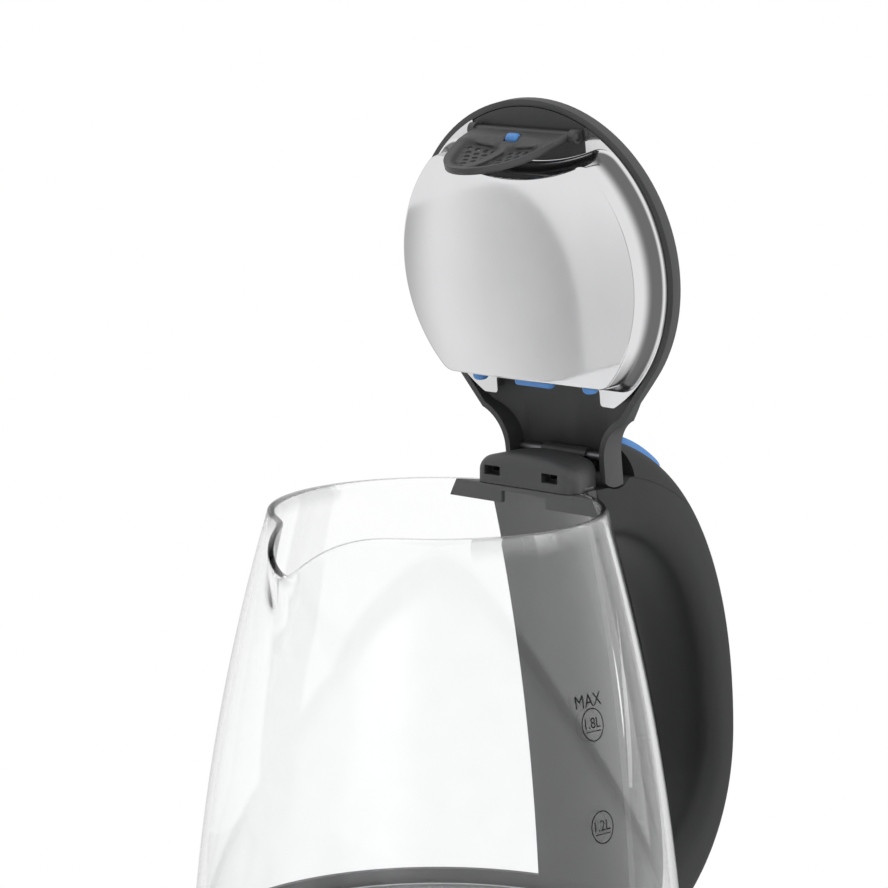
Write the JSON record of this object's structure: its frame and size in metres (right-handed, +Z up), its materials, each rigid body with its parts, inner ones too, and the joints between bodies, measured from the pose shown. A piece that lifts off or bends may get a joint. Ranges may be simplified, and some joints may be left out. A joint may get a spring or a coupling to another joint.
{
  "type": "electric kettle",
  "caption": "Cordless electric kettle with a glass jug, bow handle, sprung flip-up lid with steel inner cover and strainer flap, on a round power base",
  "frame": {"origin": "on the jug's upright axis, at table level under the power base", "axes": "+Z up along the jug's axis, spout towards -X, handle towards +X, Y across the kettle"},
  "size_m": [0.2439, 0.182, 0.3542],
  "materials": {
    "clear_glass": "clear borosilicate glass, smooth blown surface",
    "dark_plastic": "fine matte grain",
    "black_plastic": "matte",
    "blue_plastic": "satin moulded",
    "grey_rubber": "matte",
    "clear_silicone": "soft matte",
    "polished_steel": "bright pressed stainless sheet",
    "satin_steel": "fine satin",
    "aluminium": "plain",
    "brass": "bright"
  },
  "bodies": {
    "power_base": {"base_foot_ring": "grey_rubber", "base_cover": "black_plastic", "base_plate": "black_plastic", "cord_bushing": "grey_rubber", "base_connector": "black_plastic", "base_contact_sleeve": "brass", "base_contact_ring": "brass"},
    "kettle": {"glass_jug": "clear_glass", "skirt": "dark_plastic", "bottom_cover": "black_plastic", "glass_seal": "clear_silicone", "heating_plate": "satin_steel", "heat_spreader": "aluminium", "heating_element": "aluminium", "control_unit": "black_plastic", "kettle_pin": "brass", "kettle_ring": "brass", "bimetal_disc": "satin_steel", "handle_spine": "dark_plastic", "handle_body": "dark_plastic", "handle_top": "dark_plastic", "mouth_insert": "dark_plastic", "hinge_block": "dark_plastic", "hinge_pin": "satin_steel", "switch_pin": "satin_steel"},
    "lid": {"lid_shell": "dark_plastic", "lid_liner": "dark_plastic", "lid_cover": "polished_steel", "lid_plug_left": "dark_plastic", "lid_plug_right": "dark_plastic", "lid_pad": "dark_plastic"},
    "strainer": {"strainer": "dark_plastic", "strainer_peg": "blue_plastic"},
    "release_button": {"release_button": "blue_plastic"},
    "latch": {"latch_slide": "black_plastic"},
    "power_switch": {"power_switch": "blue_plastic"}
  },
  "joints": [
    {"name": "kettle_lift", "type": "slide", "parent": "power_base", "child": "kettle", "axis": [0, 0, 1], "range_m": [0, 0.06]},
    {"name": "lid_hinge", "type": "hinge", "parent": "kettle", "child": "lid", "pos_m": [0.069, 0, 0.228], "axis": [0, -1, 0], "range_deg": [0, 83], "stiffness_Nm_per_rad": 0.05, "springref_deg": -34.38},
    {"name": "strainer_pivot", "type": "hinge", "parent": "lid", "child": "strainer", "pos_m": [0.04488, 0, 0.34241], "axis": [0, -1, 0], "range_deg": [0, 30]},
    {"name": "button_press", "type": "slide", "parent": "kettle", "child": "release_button", "axis": [0, 0, -1], "range_m": [0, 0.0025], "stiffness_N_per_m": 300, "springref_m": -0.003},
    {"name": "latch_slide", "type": "slide", "parent": "kettle", "child": "latch", "axis": [1, 0, 0], "range_m": [0, 0.0025]},
    {"name": "switch_rock", "type": "hinge", "parent": "kettle", "child": "power_switch", "pos_m": [0.11, 0, 0.055], "axis": [0, -1, 0], "range_deg": [0, 14]}
  ],
  "couplings": [
    {"joint": "latch_slide", "follows": "button_press", "ratio": 1}
  ]
}
